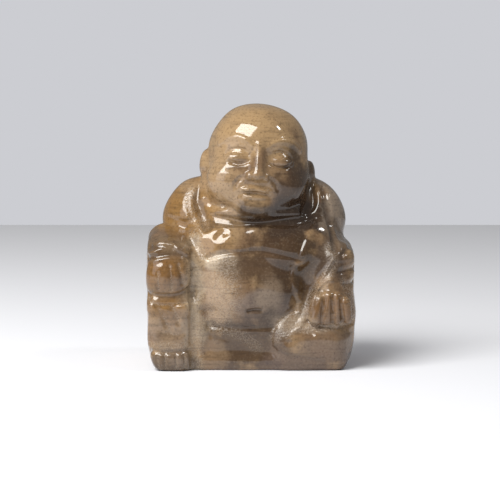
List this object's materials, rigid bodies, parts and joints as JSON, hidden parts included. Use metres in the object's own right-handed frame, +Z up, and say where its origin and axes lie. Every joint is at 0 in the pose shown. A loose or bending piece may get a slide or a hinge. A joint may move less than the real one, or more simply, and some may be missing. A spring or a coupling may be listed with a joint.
{
  "type": "laughing buddha carving",
  "caption": "Small polished stone carving of a seated, bald laughing buddha with an open robe, bare belly, one knee raised and long ears, on a flat underside.",
  "frame": {"origin": "centre of the bounding box at the flat underside", "axes": "+Z up; the figure faces -Y, and its right knee, the raised one, is on the -X side"},
  "size_m": [0.039, 0.0263, 0.0488],
  "materials": {
    "stone": "polished brown banded stone, duller in the cut lines"
  },
  "bodies": {
    "root": {"buddha_carving": "stone"}
  },
  "joints": []
}
